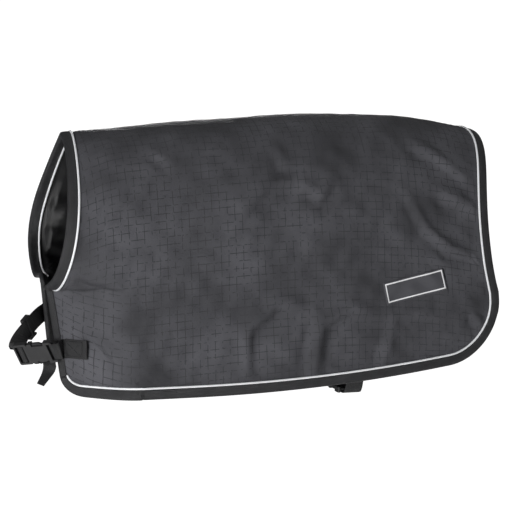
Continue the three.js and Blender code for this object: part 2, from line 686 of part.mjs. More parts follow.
// A three-bar slider: the webbing runs over its end bars and under its middle bar.
function sliderGeometry() {
  const half = SLIDER_LENGTH / 2;
  const pass = WEBBING / 2 + RUN_CLEARANCE;
  const outer = pass + SLIDER_BAR * 0.7;
  let solid = roundedPlate(-half, half, SLOT_HALF, HALF, -outer, outer, 1.5);
  solid = solid.add(roundedPlate(-half, half, -HALF, -SLOT_HALF, -outer, outer, 1.5));
  const bar = SLIDER_BAR / 2;
  [[-half, -pass, -outer], [-bar, outer, pass], [half - SLIDER_BAR, -pass, -outer]]
    .forEach(([x, z0, z1]) => {
      const low = Math.min(z0, z1);
      solid = solid.add(block(x, x + SLIDER_BAR, -HALF + 1, HALF - 1, low, Math.max(z0, z1)));
    });
  return fromManifold(solid);
}

// ---- webbing ----

const BAR_LAP = (BAR_THICKNESS + WEBBING) / 2 + GAP;    // from a bar's middle to the webbing's
const SLOT_MIDDLE = SLOT / 2 - 0.3;                     // from a bar to webbing in its slot
const UNDER_CLIP = CLIP_FACE + WEBBING / 2 + 2;

// Points [x, z] in a buckle's frame as stations of a strap.
const stationsIn = (frame, path) => {
  const across = V(frame.elements[4], frame.elements[5], frame.elements[6]);
  return path.map(([x, z]) => ({ at: V(x, 0, z).applyMatrix4(frame), across }));
};
// Half way round a bar, from the slot at its far end to the outer side.
const quarter = (x, turn, side) => [
  [x + turn * SLOT_MIDDLE, 0],
  [x + turn * (SLOT_MIDDLE - 0.4), side * 0.55 * BAR_LAP],
  [x + turn * 0.6, side * BAR_LAP],
];
const socketLoop = [
  [-8, BAR_LAP - 0.5],
  [-0.6, BAR_LAP],
  ...quarter(BAR, 1, 1).reverse(),
  ...quarter(BAR, 1, -1).slice(1),
  [-0.6, -BAR_LAP],
  [-4, 0.5 - BAR_LAP],
];
const clipLoop = [
  [REAR_BAR.end + SLOT + 5, -UNDER_CLIP - 3.5],
  [REAR_BAR.end + SLOT + 2, -UNDER_CLIP - 2],
  [REAR_BAR.end + SLOT + 0.5, -UNDER_CLIP - 0.8],
  [REAR_BAR.end + SLOT_MIDDLE + 1.2, 0.6 - UNDER_CLIP],
  [REAR_BAR.end + SLOT_MIDDLE, -2.6],
  ...quarter(REAR_BAR.end, 1, 1),
  ...quarter(REAR_BAR.start, -1, 1).reverse(),
];

// A free run of webbing that leaves one station and arrives at another, as { at, across }.
// pulls: how far each end's direction carries, as shares of the distance. The webbing turns
// late in its run if late is over 1, and early if it is under 1.
function run(from, leaving, to, arriving, steps, pulls, late = 1) {
  const [first, second] = pulls.map((pull) => pull * from.at.distanceTo(to.at));
  const curve = new THREE.CubicBezierCurve3(
    from.at,
    from.at.clone().addScaledVector(leaving.clone().normalize(), first),
    to.at.clone().addScaledVector(arriving.clone().normalize(), -second),
    to.at,
  );
  return Array.from({ length: steps + 1 }, (_, k) => ({
    at: curve.getPoint(k / steps),
    across: lerp(from.across, to.across, smooth((k / steps) ** late)),
  }));
}

// Where free webbing leaves its seam, a gap off the sewn end; last is the seam's free end.
function seamExit(seam, last, before) {
  const leaving = seam[last].at.clone().sub(seam[before].at).normalize();
  const station = (reach) => (
    { at: seam[last].at.clone().addScaledVector(leaving, reach), across: seam[last].across });
  return { sewn: station(GAP), station: station(SEAM_STRAIGHT), leaving };
}
const alongOf = (frame) => V(frame.elements[0], frame.elements[1], frame.elements[2]);

// The socket's webbing, from its seam round the bar.
function addSocketWebbing(name, exit, frame, pulls) {
  const loop = stationsIn(frame, socketLoop);
  const free = run(exit.station, exit.leaving, loop[0], alongOf(frame), 8, pulls, 1.2);
  add(name, ribbon([exit.sewn, ...free, ...loop.slice(1)]), webbingCloth);
}

// The clip's webbing, from its seam through the slider and round the clip's bar.
function addClipWebbing(name, exit, slider, frame, pulls) {
  const along = slider.along.clone().normalize();
  const half = SLIDER_LENGTH / 2 + 2;
  const into = { at: slider.at.clone().addScaledVector(along, -half), across: slider.across };
  const outOf = { at: slider.at.clone().addScaledVector(along, half), across: slider.across };
  const loop = stationsIn(frame, clipLoop);
  const first = run(exit.station, exit.leaving, into, along, 8, pulls[0]);
  const second = run(outOf, along, loop[0], alongOf(frame).negate(), 12, pulls[1], 0.5);
  add(name, ribbon([exit.sewn, ...first, ...second, ...loop.slice(1)]), webbingCloth);
}
function addSlider(name, slider) {
  const group = placedGroup(frameOf(slider.at, slider.along, slider.across));
  add(name, sliderGeometry(), moulded, group);
}

const chestSlider = {
  at: flapEdge(rightSeamZ, 1).add(CHEST_SLIDER),
  along: CHEST_SLIDER_ALONG,
  across: CHEST_SLIDER_DOWN,
};
const chestExits = [seamExit(leftSeam, 0, 1), seamExit(rightSeam, 0, 1)];
const chestPulls = [[0.3, 0.3], [0.5, 0.3]];
addSocketWebbing('chest_webbing_left', chestExits[0], chestFrame, [0.3, 0.3]);
addClipWebbing('chest_webbing_right', chestExits[1], chestSlider, chestFrame, chestPulls);
addSlider('chest_slider', chestSlider);

const bellySlider = {
  at: bellyRightSeam[2].at.clone().add(BELLY_SLIDER),
  along: BELLY_SLIDER_ALONG,
  across: V(1, 0, 0),
};
const bellyExits = [seamExit(bellyLeftSeam, 2, 1), seamExit(bellyRightSeam, 2, 1)];
const bellyPulls = [[0.12, 0.3], [0.3, 0.3]];
addSocketWebbing('belly_webbing_left', bellyExits[0], bellyFrame, [0.3, 0.22]);
addClipWebbing('belly_webbing_right', bellyExits[1], bellySlider, bellyFrame, bellyPulls);
addSlider('belly_slider', bellySlider);

// The loose ends beyond the clips.
const tailStart = REAR_BAR.start - SLOT_MIDDLE;
const chestTailPath = [
  { x: tailStart - 1, y: 1, z: -UNDER_CLIP, across: V(-0.16, 0.69, -0.71) },
  { ...CHEST_TAIL_BEND, x: CLIP_START + CHEST_TAIL_BEND.x },
  ...CHEST_TAIL_HANG,
];
const chestTail = chestTailPath.map(({ x, y, z, across }) => (
  { at: V(x, y, z).applyMatrix4(chestFrame), across }));
const tailCurve = (stations) => {
  const line = new THREE.CatmullRomCurve3(stations.map((station) => station.at));
  const widths = new THREE.CatmullRomCurve3(stations.map((station) => station.across));
  const steps = 4 * (stations.length - 1);
  return Array.from({ length: steps + 1 }, (_, k) => (
    { at: line.getPoint(k / steps), across: widths.getPoint(k / steps) }));
};
add('chest_tail', ribbon(tailCurve(chestTail)), webbingCloth);
add('belly_tail', ribbon(stationsIn(bellyFrame, [
  [tailStart, -2.2],
  [tailStart - 0.8, 0.6 - UNDER_CLIP],
  [tailStart - 3, -UNDER_CLIP - 0.2],
  [tailStart - BELLY_TAIL_LENGTH, -UNDER_CLIP - 2],
])), webbingCloth);

export default coat;
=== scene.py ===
import bpy
import math
import numpy as np
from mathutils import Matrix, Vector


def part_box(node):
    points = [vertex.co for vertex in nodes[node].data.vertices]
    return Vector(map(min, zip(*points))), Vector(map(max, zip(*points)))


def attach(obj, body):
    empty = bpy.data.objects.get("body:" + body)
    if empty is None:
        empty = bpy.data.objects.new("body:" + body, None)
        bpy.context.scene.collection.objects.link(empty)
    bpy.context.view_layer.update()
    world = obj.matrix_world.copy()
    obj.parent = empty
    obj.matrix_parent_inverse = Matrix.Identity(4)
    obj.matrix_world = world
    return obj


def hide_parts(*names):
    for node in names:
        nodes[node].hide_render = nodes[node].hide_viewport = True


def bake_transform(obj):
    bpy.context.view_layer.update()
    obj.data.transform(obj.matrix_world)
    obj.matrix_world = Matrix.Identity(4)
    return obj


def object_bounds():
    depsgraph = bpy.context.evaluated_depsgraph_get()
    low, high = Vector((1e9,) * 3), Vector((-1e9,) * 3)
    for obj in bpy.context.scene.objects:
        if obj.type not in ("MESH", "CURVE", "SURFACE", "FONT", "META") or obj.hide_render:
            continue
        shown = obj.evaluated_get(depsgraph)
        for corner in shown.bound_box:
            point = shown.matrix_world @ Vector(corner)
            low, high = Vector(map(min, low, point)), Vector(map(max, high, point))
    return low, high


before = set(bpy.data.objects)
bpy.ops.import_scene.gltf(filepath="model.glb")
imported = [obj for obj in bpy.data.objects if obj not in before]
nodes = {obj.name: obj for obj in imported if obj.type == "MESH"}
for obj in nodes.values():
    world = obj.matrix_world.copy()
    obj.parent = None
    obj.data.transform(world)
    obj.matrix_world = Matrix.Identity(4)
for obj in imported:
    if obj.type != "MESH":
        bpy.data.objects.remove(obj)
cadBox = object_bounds()
print("frame loaded,", len(nodes), "nodes")


# camera and lamps

studio = {
    "target": (-0.0285, 0.0, -0.2273),
    "azimuth": -20.0,
    "elevation": 4.0,
    "distance": 3.0,
    "lens": 125.3,
    "world": 0.12,
    "backdrop": 1.1,
    "floorDrop": 1.1,
}


def aimAt(obj, spot):
    # turns a camera or a lamp so that its -Z axis points at the spot
    away = np.array(obj.location) - np.array(spot)
    obj.rotation_euler = (
        math.atan2(math.hypot(away[0], away[1]), away[2]),
        0.0,
        math.atan2(away[0], -away[1]),
    )


def addLamp(name, place, size, power):
    light = bpy.data.lights.new(name, "AREA")
    light.size = size
    light.energy = power
    lamp = bpy.data.objects.new(name, light)
    lamp.location = place
    bpy.context.collection.objects.link(lamp)
    aimAt(lamp, studio["target"])


cameraData = bpy.data.cameras.new("camera")
cameraData.lens = studio["lens"]
cameraData.clip_end = 50
camera = bpy.data.objects.new("camera", cameraData)
turn, lift = math.radians(studio["azimuth"]), math.radians(studio["elevation"])
camera.location = np.array(studio["target"]) + studio["distance"] * np.array(
    [math.sin(turn) * math.cos(lift), -math.cos(turn) * math.cos(lift), math.sin(lift)]
)
bpy.context.collection.objects.link(camera)
aimAt(camera, studio["target"])
bpy.context.scene.camera = camera

addLamp("keyLamp", (-2.4, -1.9, -0.2), 1.0, 78)
addLamp("fillLamp", (1.4, -2.8, -0.8), 1.0, 20)
addLamp("topLamp", (0.8, 0.4, 2.2), 0.8, 8)
addLamp("farLamp", (0.6, 3.0, 0.2), 1.4, 60)

world = bpy.data.worlds.new("studio")
world.use_nodes = True
world.node_tree.nodes["Background"].inputs["Color"].default_value = (1, 1, 1, 1)
# the camera sees a white backdrop, which is brighter than the light it gives
rays = world.node_tree.nodes.new("ShaderNodeLightPath")
strength = world.node_tree.nodes.new("ShaderNodeMath")
strength.operation = "MULTIPLY_ADD"
strength.inputs[1].default_value = studio["backdrop"] - studio["world"]
strength.inputs[2].default_value = studio["world"]
world.node_tree.links.new(rays.outputs["Is Camera Ray"], strength.inputs[0])
world.node_tree.links.new(
    strength.outputs[0], world.node_tree.nodes["Background"].inputs["Strength"]
)
bpy.context.scene.world = world
bpy.context.scene.view_settings.view_transform = "Standard"


# materials


class Finish:
    # a Principled material with short ways to add nodes to it
    def __init__(self, name, color, roughness, **sockets):
        self.material = bpy.data.materials.new(name)
        self.material.use_nodes = True
        self.tree = self.material.node_tree
        self.shader = self.tree.nodes["Principled BSDF"]
        self.color = color
        self.shader.inputs["Base Color"].default_value = (*color, 1)
        self.shader.inputs["Roughness"].default_value = roughness
        self.roughness = roughness
        for key, value in sockets.items():
            self.shader.inputs[key.replace("_", " ")].default_value = value

    def node(self, kind, settings=None, **inputs):
        made = self.tree.nodes.new(kind)
        for key, value in (settings or {}).items():
            setattr(made, key, value)
        for key, value in inputs.items():
            # i0, i1 and so on are sockets by number, and any other key is a socket's name
            numbered = key[0] == "i" and key[1:].isdigit()
            socket = made.inputs[int(key[1:]) if numbered else key]
            if isinstance(value, bpy.types.NodeSocket):
                self.tree.links.new(value, socket)
            else:
                socket.default_value = value
        return made.outputs[0]

    def math(self, operation, a, b=0.0):
        return self.node("ShaderNodeMath", {"operation": operation}, i0=a, i1=b)

    def coordinates(self, kind):
        return self.tree.nodes.new("ShaderNodeTexCoord").outputs[kind]

    def noise(self, scale, detail=3.0, at="Object"):
        made = self.tree.nodes.new("ShaderNodeTexNoise")
        self.tree.links.new(self.coordinates(at), made.inputs["Vector"])
        made.inputs["Scale"].default_value = scale
        made.inputs["Detail"].default_value = detail
        return made.outputs["Fac"]

    def shade(self, factor, low, high):
        # the base colour runs from low to high times its own value
        ramp = self.tree.nodes.new("ShaderNodeValToRGB")
        ramp.color_ramp.elements[0].position = 0.3
        ramp.color_ramp.elements[1].position = 0.7
        for stop, gain in zip(ramp.color_ramp.elements, (low, high)):
            stop.color = (*[c * gain for c in self.color], 1)
        self.tree.links.new(factor, ramp.inputs["Fac"])
        self.tree.links.new(ramp.outputs["Color"], self.shader.inputs["Base Color"])

    def rough(self, factor, spread):
        made = self.math("MULTIPLY_ADD", factor, spread)
        made.node.inputs[2].default_value = self.roughness - spread / 2
        self.tree.links.new(made, self.shader.inputs["Roughness"])

    def bump(self, height, distance, strength=1.0):
        made = self.node(
            "ShaderNodeBump", None, Height=height, Distance=distance, Strength=strength
        )
        self.tree.links.new(made, self.shader.inputs["Normal"])


def threadLines(finish, uv, period, share):
    # 1 on thin lines that repeat each period along u and along v, 0 between them
    split = finish.tree.nodes.new("ShaderNodeSeparateXYZ")
    finish.tree.links.new(uv, split.inputs[0])
    lines = []
    for axis in range(2):
        cells = finish.math("MULTIPLY", split.outputs[axis], 1 / period)
        part = finish.math("FRACT", cells)
        lines.append(finish.math("LESS_THAN", part, share))
    return finish.math("MAXIMUM", lines[0], lines[1])


def weave(finish, uv, pitch):
    # the over and under of plain woven threads, as a product of two sines
    split = finish.tree.nodes.new("ShaderNodeSeparateXYZ")
    finish.tree.links.new(uv, split.inputs[0])
    waves = []
    for axis in range(2):
        angle = finish.math("MULTIPLY", split.outputs[axis], 2 * math.pi / pitch)
        waves.append(finish.math("SINE", angle))
    return finish.math("MULTIPLY", waves[0], waves[1])


ripstop = {"cell": 0.0125, "line": 0.1, "thread": 0.0011}


def shellCloth():
    finish = Finish("shellCloth", (0.074, 0.074, 0.083), 0.58, Specular_IOR_Level=0.26)
    uv = finish.coordinates("UV")
    patchy = finish.noise(9, 2)
    broken = finish.math("GREATER_THAN", finish.noise(110, 3), 0.47)
    grid = finish.math("MULTIPLY", threadLines(finish, uv, ripstop["cell"], ripstop["line"]), broken)
    tone = finish.math("SUBTRACT", patchy, finish.math("MULTIPLY", grid, 0.6))
    finish.shade(tone, 0.5, 1.2)
    finish.rough(finish.noise(40, 4), 0.14)
    threads = finish.math("MULTIPLY", weave(finish, uv, ripstop["thread"]), 0.5)
    crumple = finish.math("MULTIPLY", finish.noise(70, 4), 2.0)
    # sharp valleys where a broad noise passes its middle value
    valleys = finish.math("ABSOLUTE", finish.math("SUBTRACT", finish.noise(17, 3), 0.5))
    crumple = finish.math("ADD", crumple, finish.math("MULTIPLY", valleys, 9))
    raised = finish.math("ADD", finish.math("ADD", threads, grid), crumple)
    finish.bump(raised, 0.0004, 0.7)
    return finish.material


def plainCloth(name, color, roughness, pitch, depth, low=0.8, high=1.2, **sockets):
    finish = Finish(name, color, roughness, **sockets)
    finish.shade(finish.noise(60, 4), low, high)
    finish.rough(finish.noise(90, 3), 0.1)
    threads = weave(finish, finish.coordinates("UV"), pitch)
    finish.bump(finish.math("ADD", threads, finish.noise(300, 2)), depth, 0.8)
    return finish.material


def tapeCloth():
    # woven tape with two rows of stitches: v runs round the tape and u along it
    finish = Finish("bindingTape", (0.012, 0.012, 0.0135), 0.5)
    uv = finish.coordinates("UV")
    split = finish.tree.nodes.new("ShaderNodeSeparateXYZ")
    finish.tree.links.new(uv, split.inputs[0])
    beat = finish.math("FRACT", finish.math("MULTIPLY", split.outputs[0], 290))
    dash = finish.math("LESS_THAN", beat, 0.68)
    rows = []
    for place in (0.0046, 0.0128):
        away = finish.math("ABSOLUTE", finish.math("SUBTRACT", split.outputs[1], place))
        rows.append(finish.math("LESS_THAN", away, 0.00045))
    stitches = finish.math("MULTIPLY", dash, finish.math("MAXIMUM", rows[0], rows[1]))
    tone = finish.math("ADD", finish.noise(50, 4), finish.math("MULTIPLY", stitches, 0.3))
    finish.shade(tone, 0.8, 1.6)
    finish.rough(finish.noise(90, 3), 0.14)
    threads = finish.math("MULTIPLY", weave(finish, uv, 0.0013), 0.4)
    height = finish.math("ADD", finish.math("ADD", threads, stitches), finish.noise(160, 3))
    finish.bump(height, 0.0005, 0.8)
    return finish.material


panel = {"x": 0.206, "z": -0.275, "length": 0.116, "height": 0.038, "tilt": 11.0, "lift": 0.0009}


def printedPanel():
    # coated cloth with a white frame for a name, by the distance from the panel's edge
    finish = Finish("panelPrint", (0.064, 0.064, 0.072), 0.56, Specular_IOR_Level=0.26)
    split = finish.tree.nodes.new("ShaderNodeSeparateXYZ")
    finish.tree.links.new(finish.coordinates("UV"), split.inputs[0])
    sides = []
    for axis, size in ((0, panel["length"]), (1, panel["height"])):
        fromMiddle = finish.math("ABSOLUTE", split.outputs[axis])
        sides.append(finish.math("SUBTRACT", size / 2, fromMiddle))
    inside = finish.math("MINIMUM", sides[0], sides[1])
    fromLine = finish.math("ABSOLUTE", finish.math("SUBTRACT", inside, 0.0042))
    frameLine = finish.math("LESS_THAN", fromLine, 0.0011)
    blend = finish.tree.nodes.new("ShaderNodeMix")
    blend.data_type = "RGBA"
    blend.inputs["A"].default_value = (*finish.color, 1)
    blend.inputs["B"].default_value = (0.8, 0.8, 0.81, 1)
    finish.tree.links.new(frameLine, blend.inputs["Factor"])
    finish.tree.links.new(blend.outputs["Result"], finish.shader.inputs["Base Color"])
    finish.rough(finish.noise(60, 3), 0.12)
    finish.bump(finish.math("ADD", finish.noise(300, 3), frameLine), 0.0001, 0.6)
    return finish.material


def grainyPlastic():
    finish = Finish("mouldedPlastic", (0.017, 0.017, 0.018), 0.33, Specular_IOR_Level=0.5)
    finish.shade(finish.noise(80, 4), 0.85, 1.2)
    finish.rough(finish.noise(500, 2), 0.16)
    finish.bump(finish.noise(1400, 2), 0.00012, 0.5)
    return finish.material


cloths = {
    "shell": shellCloth(),
    "lining": plainCloth(
        "liningSatin", (0.004, 0.004, 0.0045), 0.4, 0.0006, 0.00005, Specular_IOR_Level=0.35
    ),
    "wadding": plainCloth("waddingFill", (0.75, 0.75, 0.72), 0.9, 0.003, 0.0004),
    "tape": tapeCloth(),
    "piping": plainCloth("reflectivePiping", (0.86, 0.87, 0.89), 0.35, 0.0008, 0.0001, 0.93, 1.03),
    "webbing": plainCloth("strapWebbing", (0.010, 0.010, 0.011), 0.55, 0.0028, 0.0005),
    "thread": plainCloth("sewingThread", (0.02, 0.02, 0.022), 0.6, 0.0004, 0.0001),
    "panel": printedPanel(),
}
plastic = grainyPlastic()


# the coat's form, by the same formulas as the CAD

cut = {
    "backLength": 0.727, "border": 0.013, "neckFall": 0.033, "tailFall": 0.027,
    "crestX": 0.092, "hemDepth": 0.437, "hemRise": 0.040, "hemRiseStart": -0.188,
    "neckDepth": 0.249, "throatLead": 0.036, "flapSetBack": 0.019, "flapCorner": 0.018,
    "rearCorner": 0.085, "rearHollow": 0.015, "rearFlare": 0.005, "rightLift": 0.038,
    "neckHalf": 0.126, "gapTop": 0.031, "gapHem": 0.054, "wrap": 0.060,
    "spread": (0.152, 0.160, 0.132), "shoulder": (0.075, 0.090, 0.065),
    "stack": 0.0094, "wadding": 0.007, "waddingEdge": 0.0024, "taper": 0.045,
    "neckRows": 9, "rows": 15,
}
neckX = cut["border"] - cut["backLength"] / 2
tailX = -neckX


def smooth(q):
    q = np.clip(q, 0, 1)
    return q * q * (3 - 2 * q)


def ridgeFall(x):
    # a power of the distance from the crest, steeper towards the tail
    half = cut["backLength"] / 2
    ahead = np.clip((cut["crestX"] - x) / (cut["crestX"] + half), 0, None)
    behind = np.clip((x - cut["crestX"]) / (half - cut["crestX"]), 0, None)
    return cut["neckFall"] * ahead ** 1.5 + cut["tailFall"] * behind ** 2.8


crestZ = cut["stack"] + float(ridgeFall(np.array(0.0)))


def ridgeZ(x):
    return crestZ - ridgeFall(x)


def hemZ(x):
    rise = np.clip((x - cut["hemRiseStart"]) / (tailX - cut["hemRiseStart"]), 0, 1)
    return crestZ - cut["hemDepth"] + cut["hemRise"] * rise ** 2


neckDrop = float(ridgeZ(np.array(neckX)) - hemZ(np.array(neckX)))
tailDrop = float(ridgeZ(np.array(tailX)) - hemZ(np.array(tailX)))
throat = cut["neckDepth"] / neckDrop


def rowShare(row):
    # a cosine down to the throat, then a square root's ease to the hem
    upper = throat * (1 - np.cos(np.pi * row / cut["neckRows"])) / 2
    left = (cut["rows"] - row) / (cut["rows"] - cut["neckRows"])
    return np.where(row <= cut["neckRows"], upper, 1 - (1 - throat) * left ** 2)


def cornerInset(radius, height):
    q = np.clip(1 - height / radius, 0, 1)
    return radius * (1 - np.sqrt(1 - q * q))


def frontHalf(share):
    # a pointed arch down to the throat, then the flap's edge
    p = np.clip(share / throat, 0, 1)
    arch = np.sqrt(np.clip(np.sin(np.pi * p ** 1.3), 0, None))
    upper = cut["gapTop"] * p + (cut["neckHalf"] - 0.58 * cut["gapTop"]) * arch
    flap = np.clip((share - throat) / (1 - throat), 0, 1)
    return np.where(share >= throat, cut["gapTop"] + (cut["gapHem"] - cut["gapTop"]) * flap, upper)


def blendedAlong(values, x):
    start, middle, end = values
    q = np.clip((x - neckX) / (tailX - neckX), 0, 1)
    return start + (end - start) * q + (middle - (start + end) / 2) * np.sin(np.pi * q)


def sideHalf(x, depth):
    spread, roll = blendedAlong(cut["spread"], x), blendedAlong(cut["shoulder"], x)
    return spread * np.sqrt(depth / (depth + roll))


def clothPoint(u, row):
    # the coat's outer face: a share u of the way along each row, down from the ridge
    share = rowShare(np.abs(row))
    side = np.sign(row)
    along = u - 0.55 * np.sin(2 * np.pi * u) / (2 * np.pi)
    neck = np.clip(share / throat, 0, 1)
    flap = np.clip((share - throat) / (1 - throat), 0, 1)
    start = neckX - cut["throatLead"] * neck + cut["flapSetBack"] * flap
    front = start + cornerInset(cut["flapCorner"], (1 - share) * neckDrop)
    rear = (
        tailX - cut["rearHollow"] * np.sin(np.pi * np.clip(share / 0.75, 0, 1))
        + cut["rearFlare"] * smooth((share - 0.6) / 0.3)
        - cornerInset(cut["rearCorner"], (1 - share) * tailDrop)
    )
    x = front + (rear - front) * along
    depth = share * (ridgeZ(x) - hemZ(x))
    edge = frontHalf(share)
    spare = sideHalf(start, depth) - edge
    turned = np.sin(np.pi / 2 * np.clip((x - start) / (cut["wrap"] + 0.45 * np.abs(spare)), 0, 1))
    y = edge + (sideHalf(x, depth) - edge) * turned
    toFront = 1 - smooth((x - neckX) / (cut["backLength"] / 2))
    up = np.where(side > 0, cut["rightLift"] * share ** 2 * toFront, 0)
    return np.stack([x, side * y, ridgeZ(x) - depth + up], axis=-1)


def unit(v):
    return v / np.maximum(np.linalg.norm(v, axis=-1, keepdims=True), 1e-12)


grid = {"columns": 180, "perRow": 6}
uValues = np.linspace(0, 1, grid["columns"] + 1)
rowValues = np.linspace(-cut["rows"], cut["rows"], 2 * cut["rows"] * grid["perRow"] + 1)
uGrid, rowGrid = np.meshgrid(uValues, rowValues, indexing="ij")
cloth = clothPoint(uGrid, rowGrid)
slopeU = np.gradient(cloth, axis=0)
slopeV = np.gradient(cloth, axis=1)
normals = unit(np.cross(slopeU, slopeV))
arc = np.concatenate(
    [np.zeros((len(uValues), 1)), np.cumsum(np.linalg.norm(np.diff(cloth, axis=1), axis=2), axis=1)],
    axis=1,
)
arc -= arc[:, [cut["rows"] * grid["perRow"]]]


def edgeDistance():
    # how far each point is from the nearest of the four edges, along the grid
    runs = [
        np.linalg.norm(cloth - cloth[:1], axis=2), np.linalg.norm(cloth - cloth[-1:], axis=2),
        np.linalg.norm(cloth - cloth[:, :1], axis=2), np.linalg.norm(cloth - cloth[:, -1:], axis=2),
    ]
    return np.minimum.reduce(runs)


toEdge = edgeDistance()
wadThickness = cut["waddingEdge"] + (cut["wadding"] - cut["waddingEdge"]) * smooth(toEdge / cut["taper"])
print("cloth laid out", cloth.shape)


# folds in the cloth

# each: side, points (x, z), depth and width of the crease, and its rim's height
folds = [
    (-1, [(0.246, -0.132), (0.285, -0.152), (0.330, -0.172)], 0.008, 0.012, 0.006),
    (-1, [(0.182, -0.125), (0.219, -0.190), (0.265, -0.224), (0.315, -0.240)], 0.006, 0.009, 0.004),
    (-1, [(0.191, -0.041), (0.250, -0.070), (0.315, -0.118)], 0.004, 0.010, 0.003),
    (-1, [(-0.045, -0.045), (-0.029, -0.085), (0.003, -0.080)], 0.004, 0.009, 0.003),
    (-1, [(-0.080, -0.145), (-0.045, -0.118), (0.000, -0.110)], 0.004, 0.010, 0.004),
    (-1, [(0.010, -0.120), (0.040, -0.140), (0.068, -0.112)], 0.005, 0.010, 0.004),
    (-1, [(-0.080, -0.420), (-0.078, -0.345), (-0.040, -0.312), (0.012, -0.318)], 0.005, 0.012, 0.004),
    (-1, [(0.012, -0.318), (0.005, -0.360), (-0.004, -0.420)], 0.004, 0.012, 0.003),
    (-1, [(0.041, -0.405), (0.045, -0.345), (0.090, -0.325), (0.148, -0.336)], 0.005, 0.012, 0.004),
    (-1, [(0.148, -0.336), (0.135, -0.370), (0.120, -0.400)], 0.004, 0.012, 0.003),
    (-1, [(0.157, -0.337), (0.205, -0.332), (0.248, -0.341)], 0.003, 0.009, 0.002),
    (-1, [(0.303, -0.334), (0.318, -0.345), (0.332, -0.361)], 0.004, 0.008, 0.003),
    (-1, [(-0.354, -0.345), (-0.332, -0.361), (-0.311, -0.391)], 0.004, 0.008, 0.003),
    (-1, [(-0.368, -0.250), (-0.345, -0.262), (-0.315, -0.268)], 0.003, 0.008, 0.002),
    (-1, [(-0.243, -0.062), (-0.219, -0.073)], 0.003, 0.007, 0.002),
    (1, [(0.240, -0.110), (0.290, -0.160), (0.325, -0.172)], 0.006, 0.012, 0.004),
    (1, [(-0.060, -0.400), (-0.050, -0.330), (0.020, -0.318)], 0.005, 0.012, 0.004),
    (1, [(0.060, -0.130), (0.020, -0.120), (-0.040, -0.150)], 0.004, 0.010, 0.003),
    (1, [(-0.350, -0.300), (-0.320, -0.330), (-0.300, -0.370)], 0.004, 0.010, 0.003),
    (1, [(0.150, -0.380), (0.180, -0.330), (0.240, -0.335)], 0.004, 0.010, 0.003),
]


def creaseHeight(points, path, depth, width, rim):
    # a valley along the path with a rim on one side, both fading towards its ends
    path = np.array(path)
    nearest = np.full(points.shape[:-1], 9.0)
    height = np.zeros(points.shape[:-1])
    total = len(path) - 1
    for k, (a, b) in enumerate(zip(path[:-1], path[1:])):
        d = b - a
        t = np.clip(((points - a) @ d) / (d @ d), 0, 1)
        off = points - (a + t[..., None] * d)
        signed = off @ np.array([-d[1], d[0]]) / np.linalg.norm(d)
        reach = np.linalg.norm(off, axis=-1)
        away = np.where(np.abs(signed) > 1e-9, reach * np.sign(signed), reach)
        ends = np.sin(np.pi * np.clip((k + t) / total, 0.02, 0.98)) ** 0.6
        shape = -depth * np.exp(-np.abs(away) / (0.75 * width))
        shape += rim * np.exp(-((away - 1.5 * width) / (0.8 * width)) ** 2)
        closer = reach < nearest
        height = np.where(closer, shape * ends, height)
        nearest = np.minimum(nearest, reach)
    return height


rng = np.random.default_rng(11)


def ripple(a, b, wavelength, count):
    # a sum of sines with random directions and phases, about 1 high
    total = np.zeros(a.shape)
    for _ in range(count):
        heading, phase = rng.uniform(0, np.pi), rng.uniform(0, 2 * np.pi)
        step = 2 * np.pi / (wavelength * rng.uniform(0.6, 1.5))
        total += np.sin(step * (a * np.cos(heading) + b * np.sin(heading)) + phase)
    return total / math.sqrt(count)


flatPoints = cloth[..., [0, 2]]
drape = {
    "broad": 0.0021, "broadWave": 0.13, "fine": 0.0009, "fineWave": 0.045,
    "backShare": 0.3, "backReach": 0.11, "valleyGain": 2.2, "rimGain": 2.6,
    "pucker": 0.0011, "puckerReach": 0.02, "pipingFlat": 0.006, "edgeFade": 0.012,
    "deepest": 0.6, "highest": 0.009, "waves": 7,
}
relief = drape["broad"] * ripple(cloth[..., 0], arc, drape["broadWave"], drape["waves"])
relief += drape["fine"] * ripple(cloth[..., 0], arc, drape["fineWave"], drape["waves"])
# the back stays smoother than the sides
relief *= drape["backShare"] + (1 - drape["backShare"]) * smooth(np.abs(arc) / drape["backReach"])
for side, path, depth, width, rim in folds:
    fold = creaseHeight(
        flatPoints, path, drape["valleyGain"] * depth, width, drape["rimGain"] * rim
    )
    relief += np.where(np.sign(rowGrid) == side, fold, 0)
# puckers where the tape is sewn on, fading away from the edge
edgeRunning = cloth[..., 0] + arc
puckers = np.sin(2 * np.pi * edgeRunning / 0.011) + np.sin(2 * np.pi * edgeRunning / 0.0173)
relief += drape["pucker"] * puckers * np.exp(-toEdge / drape["puckerReach"])
relief *= smooth((toEdge - drape["pipingFlat"]) / drape["edgeFade"])
# a fold is never deeper than the wadding under it
limit = np.where(relief < 0, drape["deepest"] * wadThickness, drape["highest"])
relief = limit * np.tanh(relief / limit)


# mesh making


def addPiece(name, points, faces, material, uv):
    # points: (n, 3); faces: lists of corners; uv: one pair for each point, in metres
    mesh = bpy.data.meshes.new(name)
    mesh.from_pydata(points.tolist(), [], faces)
    corners = np.empty(len(mesh.loops), dtype=np.int32)
    mesh.loops.foreach_get("vertex_index", corners)
    layer = mesh.uv_layers.new(name="UVMap")
    layer.data.foreach_set("uv", uv.reshape(-1, 2)[corners].astype(np.float32).ravel())
    mesh.materials.append(material)
    mesh.polygons.foreach_set("use_smooth", [True] * len(mesh.polygons))
    mesh.update()
    obj = bpy.data.objects.new(name, mesh)
    bpy.context.collection.objects.link(obj)
    return obj


